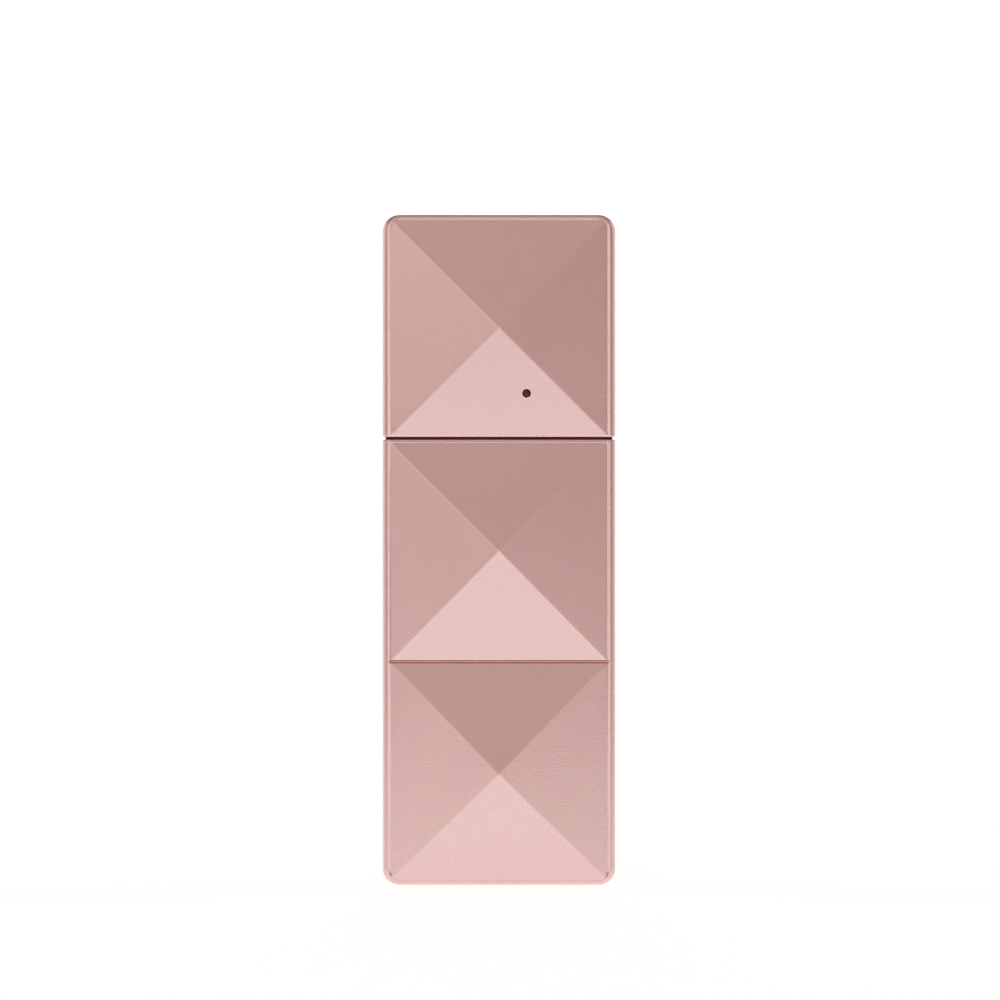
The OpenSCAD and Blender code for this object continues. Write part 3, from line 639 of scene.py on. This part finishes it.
def noise(tree, coords, scale, detail=2.0, stretch=(1, 1, 1)):
    """Noise of a given number of features per metre, stretched along the axes."""
    mapping = tree.nodes.new("ShaderNodeMapping")
    mapping.inputs["Scale"].default_value = stretch
    tree.links.new(coords, mapping.inputs["Vector"])
    node = tree.nodes.new("ShaderNodeTexNoise")
    node.inputs["Scale"].default_value = scale
    node.inputs["Detail"].default_value = detail
    tree.links.new(mapping.outputs["Vector"], node.inputs["Vector"])
    return node.outputs["Fac"]


def ramp(tree, value, low, high, spread=(0.3, 0.7)):
    """Colour between low and high as a noise value goes from one end of spread to the other."""
    node = tree.nodes.new("ShaderNodeValToRGB")
    node.color_ramp.elements[0].position = spread[0]
    node.color_ramp.elements[1].position = spread[1]
    node.color_ramp.elements[0].color = (*low, 1)
    node.color_ramp.elements[1].color = (*high, 1)
    tree.links.new(value, node.inputs["Fac"])
    return node.outputs["Color"]


def between(tree, value, low, high, spread=(0.3, 0.7)):
    """Number between low and high that follows a noise value."""
    node = tree.nodes.new("ShaderNodeMapRange")
    node.inputs["From Min"].default_value = spread[0]
    node.inputs["From Max"].default_value = spread[1]
    node.inputs["To Min"].default_value = low
    node.inputs["To Max"].default_value = high
    tree.links.new(value, node.inputs["Value"])
    return node.outputs["Result"]


def colour_by(tree, shader, value, low, high, spread=(0.3, 0.7)):
    """Gives the shader a colour between low and high that follows a noise value."""
    tree.links.new(ramp(tree, value, low, high, spread), shader.inputs["Base Color"])


def rough_by(tree, shader, value, low, high, spread=(0.3, 0.7)):
    """Gives the shader a roughness between low and high that follows a noise value."""
    tree.links.new(between(tree, value, low, high, spread), shader.inputs["Roughness"])


def bump(tree, shader, value, height, strength=1.0):
    """Raises the surface by up to height, in metres, where the value is high."""
    node = tree.nodes.new("ShaderNodeBump")
    node.inputs["Distance"].default_value = height
    node.inputs["Strength"].default_value = strength
    tree.links.new(value, node.inputs["Height"])
    tree.links.new(node.outputs["Normal"], shader.inputs["Normal"])


print("noise scales are in features per metre: 3200 is one every", round(1 / 3.2, 2), "mm")

# %% [markdown]
# ## Satin rose metallic paint
# The shells are sprayed with a metallic base coat and a thin satin lacquer. The flakes lie
# nearly flat, so each facet of a pyramid mirrors one part of the room, softly, and that is what
# makes the facets so different in tone. A metallic shader with a weak coat does the same, and
# fine noise stands for the flakes in colour and bump.

# %% Satin rose metallic paint
def satin_paint(name, deep, pale, roughness):
    """Metal flakes under a satin lacquer: fine sparkle in colour, roughness and bump."""
    mat, tree, shader, coords = start_material(name)
    flakes = noise(tree, coords, 3200, 1.0)
    drift = noise(tree, coords, 60, 2.0)
    colour_by(tree, shader, flakes, deep, pale, (0.25, 0.75))
    rough_by(tree, shader, drift, roughness - 0.015, roughness + 0.015)
    shader.inputs["Metallic"].default_value = 0.9
    shader.inputs["Coat Weight"].default_value = 0.1
    shader.inputs["Coat Roughness"].default_value = 0.2
    bump(tree, shader, flakes, 0.01 * mm, 0.8)
    return mat


rose_paint = satin_paint("rose_paint", (0.76, 0.55, 0.53), (0.82, 0.61, 0.59), 0.26)
rose_trim = satin_paint("rose_trim", (0.45, 0.24, 0.21), (0.52, 0.29, 0.26), 0.3)


def dress(piece, mat):
    """Gives a piece one material on all its faces."""
    piece.data.materials.clear()
    piece.data.materials.append(mat)


for piece in (cap, front, rear):
    dress(piece, rose_paint)
    print(piece.name, "is painted with", rose_paint.name)

# %% [markdown]
# ## Plastics, rubber, steel and the parts inside
# The neck is plastic with a fine moulded texture, in a dark maroon that is painted shade: it is
# the colour of the shaded line at the seam, and the neck, its liner and the seam gasket wear it.
# The blade is stainless steel brushed along its length. Inside, each part gets the finish it has
# on a bench: nickel-plated and turned metal, fired ceramic, enamelled copper wire, a crinkled
# battery pouch, green solder mask over copper tracks, and black epoxy chips.

# %% Moulded plastic and rubber
def moulded(name, colour, roughness, grain=2500, depth=0.006, drift=0.12, specular=0.5):
    """Plastic or rubber with a fine moulded grain and a slow drift of shade."""
    mat, tree, shader, coords = start_material(name)
    colour = np.array(colour)
    shade = noise(tree, coords, 120, 3.0)
    colour_by(tree, shader, shade, colour * (1 - drift), colour * (1 + drift))
    fine = noise(tree, coords, grain, 2.0)
    rough_by(tree, shader, fine, roughness - 0.05, roughness + 0.05)
    shader.inputs["Specular IOR Level"].default_value = specular
    bump(tree, shader, fine, depth * mm, 0.6)
    return mat


def clear(name, colour, roughness, transmission):
    """See-through plastic with a faint haze."""
    mat, tree, shader, coords = start_material(name)
    colour = np.array(colour)
    colour_by(tree, shader, noise(tree, coords, 400, 2.0), colour * 0.9, colour)
    rough_by(tree, shader, noise(tree, coords, 900), roughness * 0.8, roughness * 1.2)
    shader.inputs["Transmission Weight"].default_value = transmission
    shader.inputs["IOR"].default_value = 1.49
    return mat


# Dark maroon painted shade: the colour of the shaded line where the cap and the handle meet.
neck_plastic = moulded("neck_plastic", (0.055, 0.006, 0.005), 0.45, specular=0.25)
silicone = moulded("silicone", (0.045, 0.042, 0.042), 0.62, grain=1600, depth=0.01)
frame_plastic = moulded("frame_plastic", (0.06, 0.062, 0.066), 0.5)
insulator_plastic = moulded("insulator_plastic", (0.72, 0.66, 0.54), 0.45)
chip_plastic = moulded("chip_plastic", (0.014, 0.014, 0.015), 0.55, grain=5000)
capacitor_body = moulded("capacitor_body", (0.36, 0.24, 0.13), 0.4)
ferrite = moulded("ferrite", (0.05, 0.05, 0.054), 0.6, grain=3500, depth=0.012)
led_body = moulded("led_body", (0.75, 0.66, 0.32), 0.35)
tinted_window = clear("tinted_window", (0.10, 0.018, 0.016), 0.12, 0.35)
clear_plastic = clear("clear_plastic", (0.92, 0.93, 0.92), 0.28, 0.8)
print("materials so far:", len(bpy.data.materials) - len(imported_materials))

# %% [markdown]
# ## Metals
# Bare metal shows how it was worked. The blade is brushed along its length, so its noise is
# squeezed across the blade and drawn out along it. Turned parts have rings round their axis,
# and a screw is plated and even. The battery's foil pouch is metal too, with large soft
# crinkles.

# %% Metals
def metal(name, colour, roughness, scale, stretch=(1, 1, 1), depth=0.002, drift=0.1):
    """Bare metal whose polishing or turning marks are noise stretched along one direction."""
    mat, tree, shader, coords = start_material(name)
    colour = np.array(colour)
    marks = noise(tree, coords, scale, 3.0, stretch)
    colour_by(tree, shader, marks, colour * (1 - drift), colour * (1 + drift / 2))
    rough_by(tree, shader, marks, roughness - 0.06, roughness + 0.08)
    shader.inputs["Metallic"].default_value = 1.0
    bump(tree, shader, marks, depth * mm, 0.5)
    return mat


blade_steel = metal("blade_steel", (0.66, 0.66, 0.67), 0.26, 7000, (1, 0.02, 0.02),
    depth=0.0006, drift=0.06)
machined_steel = metal("machined_steel", (0.56, 0.56, 0.58), 0.3, 2200, (0.1, 0.1, 1))
horn_alloy = metal("horn_alloy", (0.78, 0.79, 0.8), 0.28, 1800, (0.1, 0.1, 1))
zinc_screw = metal("zinc_screw", (0.60, 0.62, 0.66), 0.34, 2500)
copper = metal("copper", (0.80, 0.42, 0.26), 0.3, 2400, (1, 0.15, 1), depth=0.01)
battery_pouch = metal("battery_pouch", (0.72, 0.73, 0.75), 0.32, 260, depth=0.12)
print("blade marks are", round(1 / 7.0, 2), "mm apart and", round(1 / (7.0 * 0.02), 1), "mm long")

# %% [markdown]
# ## Ceramic, foam, boards and wire
# These parts are hidden in the handle, but they show when it is opened. Fired ceramic is
# speckled, foam is made of cells, a circuit board has copper tracks under its solder mask, and
# a pair of leads is red on one side and black on the other.

# %% Ceramic, foam, boards and wire
def ceramic(name):
    """Fired grey ceramic with a fine speckle."""
    mat, tree, shader, coords = start_material(name)
    speck = noise(tree, coords, 6000, 4.0)
    colour_by(tree, shader, speck, (0.30, 0.27, 0.22), (0.50, 0.46, 0.38))
    rough_by(tree, shader, speck, 0.5, 0.7)
    bump(tree, shader, speck, 0.01 * mm)
    return mat


def open_foam(name):
    """Dark foam: cells of a Voronoi pattern pressed into the surface."""
    mat, tree, shader, coords = start_material(name)
    cells = tree.nodes.new("ShaderNodeTexVoronoi")
    cells.inputs["Scale"].default_value = 2600
    tree.links.new(coords, cells.inputs["Vector"])
    far = cells.outputs["Distance"]
    colour_by(tree, shader, far, (0.01, 0.01, 0.011), (0.05, 0.05, 0.052), (0, 0.6))
    rough_by(tree, shader, far, 0.85, 0.98, (0, 0.6))
    bump(tree, shader, far, 0.1 * mm)
    return mat


def board(name, mask, track):
    """Solder mask over tracks: straight-sided cells show the copper below as paler lines."""
    mat, tree, shader, coords = start_material(name)
    cells = tree.nodes.new("ShaderNodeTexVoronoi")
    cells.distance = "MANHATTAN"
    cells.feature = "F2"
    cells.inputs["Scale"].default_value = 420
    tree.links.new(coords, cells.inputs["Vector"])
    colour_by(tree, shader, cells.outputs["Distance"], track, mask, (0.45, 0.5))
    rough_by(tree, shader, noise(tree, coords, 1500), 0.28, 0.4)
    bump(tree, shader, cells.outputs["Distance"], 0.03 * mm, 0.4)
    return mat


def striped_wire(name, left, right):
    """Wire jacket that is one colour on one side of the handle and another on the other side."""
    mat, tree, shader, coords = start_material(name)
    split = tree.nodes.new("ShaderNodeSeparateXYZ")
    tree.links.new(coords, split.inputs["Vector"])
    side = between(tree, split.outputs["X"], 0, 1, (-mm, mm))
    colour_by(tree, shader, side, left, right, (0.45, 0.55))
    fine = noise(tree, coords, 3000)
    rough_by(tree, shader, fine, 0.35, 0.5)
    bump(tree, shader, fine, 0.008 * mm, 0.5)
    return mat


piezo_ceramic = ceramic("piezo_ceramic")
foam = open_foam("foam")
circuit_board = board("circuit_board", (0.012, 0.10, 0.045), (0.05, 0.22, 0.10))
amber_board = board("amber_board", (0.34, 0.17, 0.03), (0.55, 0.32, 0.08))
wire_jacket = striped_wire("wire_jacket", (0.015, 0.015, 0.016), (0.45, 0.02, 0.015))
print("materials so far:", len(bpy.data.materials) - len(imported_materials))

# %% [markdown]
# ## Dressing every part
# One table says which parts share a finish, so a missing part is easy to find, and the loop
# puts the finish into the slots that the CAD meshes already have. The buttons get a second
# material: the bottom of each engraved groove is filled with pale ink, and a face belongs to
# it when its middle lies at the depth of the grooves.

# %% Dress every part
finishes = {
    rose_trim: ["screw_plugs"],
    # The neck parts and the seam gasket carry the dark maroon painted shade of the seam line.
    neck_plastic: ["cap_liner", "neck_collar", "seam_gasket"],
    silicone: ["neck_seal_ring", "blade_grommet", "isolation_rings", "usb_gasket", "power_button_seal",
        "mode_button_seal"],
    blade_steel: ["blade"],
    machined_steel: ["blade_pins", "transducer_rear_mass", "tact_switches", "usb_socket_shell"],
    horn_alloy: ["transducer_horn"],
    zinc_screw: ["transducer_bolt", "case_screws", "board_screws"],
    piezo_ceramic: ["piezo_rings"],
    copper: ["electrode_tabs", "transformer_winding"],
    frame_plastic: ["chassis"],
    insulator_plastic: ["bolt_sleeve", "battery_connector"],
    battery_pouch: ["battery_cell"],
    foam: ["battery_foam"],
    circuit_board: ["main_board", "neck_light_board"],
    amber_board: ["battery_protection_board"],
    chip_plastic: ["controller_chip", "charger_chip", "drive_transistors", "usb_socket_tongue",
        "power_switch_stem", "mode_switch_stem"],
    capacitor_body: ["capacitors"],
    ferrite: ["transformer_core", "boost_inductor"],
    wire_jacket: ["transducer_leads", "battery_leads", "neck_light_leads"],
    clear_plastic: ["indicator_light_pipes", "neck_light_pipe"],
    led_body: ["indicator_leds", "neck_led"],
}
for mat, names in finishes.items():
    for name in names:
        for slot in nodes[name].material_slots:
            slot.material = mat
dressed = {name for names in finishes.values() for name in names}
shown = {name for name in nodes if not nodes[name].hide_render}
print("still plain:", sorted(shown - dressed))
for piece in (panel, *buttons.values()):
    dress(piece, rose_trim)
mark_ink = moulded("mark_ink", (0.80, 0.74, 0.72), 0.5)
for piece in buttons.values():
    piece.data.materials.append(mark_ink)
    centres = np.empty(3 * len(piece.data.polygons))
    piece.data.polygons.foreach_get("center", centres)
    sunk = np.abs(centres[1::3] - mark_y[0]) < 0.01 * mm
    piece.data.polygons.foreach_set("material_index", sunk.astype(np.int32))
dress(lens_piece, tinted_window)

# %% [markdown]
# ## Broken edges on the CAD parts that show
# A CAD part comes as loose triangles with knife-sharp edges. Its mesh stays as it is: a live
# weld joins the corners, a bevel rounds the edges and weighted normals keep the flats flat.
# Only the parts that catch the light outside the shells need it.

# %% Broken edges on the CAD parts that show
def soften(name, width):
    """Joins a CAD part's loose facets and rounds its crisp edges, on top of its own mesh."""
    part = nodes[name]
    weld = part.modifiers.new("weld", "WELD")
    weld.merge_threshold = 0.001 * mm
    bevel = part.modifiers.new("edge", "BEVEL")
    bevel.width = width
    bevel.segments = 2
    bevel.limit_method = "ANGLE"
    bevel.angle_limit = math.radians(35)
    weights = part.modifiers.new("flats", "WEIGHTED_NORMAL")
    weights.keep_sharp = True


EDGE_WIDTHS = {"screw_plugs": 0.15, "usb_socket_shell": 0.04, "blade_grommet": 0.15,
    "neck_seal_ring": 0.2, "neck_collar": 0.2, "cap_liner": 0.15}
for name, width in EDGE_WIDTHS.items():
    soften(name, width * mm)
print("softened:", ", ".join(EDGE_WIDTHS))

# %% [markdown]
# ## Camera
# The object is seen straight on from far away with a long lens, which keeps the outline almost
# free of perspective. The width of the view at the object and the lens give the distance.

# %% Camera a little above the middle of the object
view_w = 185.35 * mm
view_rise = 9.25 * mm
lens = 300.0
SENSOR_W = 36.0
camera_data = bpy.data.cameras.new("camera")
camera = bpy.data.objects.new("camera", camera_data)
bpy.context.scene.collection.objects.link(camera)
bpy.context.scene.camera = camera
camera_data.lens = lens
camera_data.sensor_width = SENSOR_W
camera_data.clip_start = 0.01
camera_data.clip_end = 50
distance = view_w * lens / SENSOR_W
camera.location = (0, rim_y / 2 - distance, total_h / 2 + view_rise)
camera.rotation_euler = (math.pi / 2, 0, 0)
camera_data.shift_x = 0.0010
print("camera stands", round(distance, 2), "m away")

# %% [markdown]
# ## Paper sweep
# A sheet of white paper runs under the object and curves up behind it, so there is no horizon
# line. It glows a little, as paper does when it is lit from below, and lights the undersides.

# %% White paper sweep
def paper_sweep(half_width, front_y, bend_y, bend_r, top_z, steps=24):
    """Strip of paper as a path in depth and height, carried sideways: flat, quarter turn, wall."""
    turn = np.linspace(0, math.pi / 2, steps)
    path_y = np.concatenate([[front_y], bend_y + bend_r * np.sin(turn), [bend_y + bend_r]])
    path_z = np.concatenate([[0], bend_r * (1 - np.cos(turn)), [top_z]])
    points = np.stack([np.concatenate([-half_width + 0 * path_y, half_width + 0 * path_y]),
        np.tile(path_y, 2), np.tile(path_z, 2)], -1)
    n = len(path_y)
    i = np.arange(n - 1)
    quads = np.stack([i, i + n, i + n + 1, i + 1], -1)
    mesh = bpy.data.meshes.new("paper")
    mesh.from_pydata(points.tolist(), [], quads.tolist())
    mesh.shade_smooth()
    paper = bpy.data.objects.new("paper", mesh)
    bpy.context.scene.collection.objects.link(paper)
    return paper


paper = paper_sweep(0.3, -0.5, 1.1, 0.4, 0.8)
paper_mat, tree, shader, coords = start_material("paper")
fibre = noise(tree, coords, 900, 3.0)
colour_by(tree, shader, fibre, (0.74, 0.74, 0.74), (0.78, 0.78, 0.78))
shader.inputs["Roughness"].default_value = 0.9
shader.inputs["Specular IOR Level"].default_value = 0.1
shader.inputs["Emission Color"].default_value = (1, 1, 1, 1)
shader.inputs["Emission Strength"].default_value = 0.7
dress(paper, paper_mat)
print("paper corners:", len(paper.data.vertices))

# %% [markdown]
# ## Studio light
# A soft panel round the camera brightens everything that faces it, such as the rims. One panel
# stands to the upper left and one above, for the left and the upper facets, and weaker panels
# on both sides fill the rolled edges. The room itself is dim and warm, which keeps the facets
# that face away from the panels deeper in colour, and its walls are white where they are seen.

# %% Dim warm room with white walls
world = bpy.data.worlds.new("studio")
bpy.context.scene.world = world
world.use_nodes = True
room = world.node_tree.nodes["Background"]
room.inputs["Color"].default_value = (1.0, 0.74, 0.69, 1)
room.inputs["Strength"].default_value = 0.34
backdrop = world.node_tree.nodes.new("ShaderNodeBackground")
backdrop.inputs["Color"].default_value = (1, 1, 1, 1)
seen = world.node_tree.nodes.new("ShaderNodeLightPath").outputs["Is Camera Ray"]
mix = world.node_tree.nodes.new("ShaderNodeMixShader")
surface = world.node_tree.nodes["World Output"].inputs["Surface"]
world.node_tree.links.new(seen, mix.inputs["Fac"])
world.node_tree.links.new(room.outputs["Background"], mix.inputs[1])
world.node_tree.links.new(backdrop.outputs["Background"], mix.inputs[2])
world.node_tree.links.new(mix.outputs["Shader"], surface)
print("room strength", round(room.inputs["Strength"].default_value, 2))

# %% [markdown]
# ## Soft panels
# Each panel is placed by two angles and a distance, as a photographer would say it, and turned
# to face the object. Its power follows from its size, so that the number given is how bright
# its surface looks, whatever its size.

# %% Soft panels
def soft_panel(name, side, height, away, width, tall, radiance, tint=(1, 1, 1)):
    """Panel at angles side and height seen from the middle of the object, facing it."""
    middle = Vector((0, rim_y, total_h / 2))
    side, height = math.radians(side), math.radians(height)
    level = math.cos(height)
    out = Vector((math.sin(side) * level, -math.cos(side) * level, math.sin(height)))
    data = bpy.data.lights.new(name, "AREA")
    data.shape = "RECTANGLE"
    data.size, data.size_y = width, tall
    data.energy = math.pi * width * tall * radiance
    data.color = tint
    light = bpy.data.objects.new(name, data)
    bpy.context.scene.collection.objects.link(light)
    light.location = middle + away * out
    light.rotation_euler = (-out).to_track_quat("-Z", "Y").to_euler()
    return light


warm = (1.0, 0.78, 0.74)
soft_panel("around_camera", 0, 0, 2.3, 0.69, 0.33, 1.45)
soft_panel("left", -24, 14, 1.2, 0.44, 0.46, 0.58)
soft_panel("front", 0, 14, 1.5, 1.5, 0.9, 0.2, warm)
soft_panel("top", 0, 35, 1.2, 0.9, 0.3, 0.44)
soft_panel("left_edge", -95, 6, 1.0, 1.5, 1.0, 0.5)
soft_panel("right_edge", 95, 16, 1.0, 1.5, 0.9, 0.4)
soft_panel("left_rim", -125, 6, 1.0, 0.6, 1.0, 0.5)
soft_panel("right_rim", 125, 6, 1.0, 0.6, 1.0, 0.5)
bpy.context.scene.view_settings.view_transform = "Standard"
print("panels:", len(bpy.data.lights))
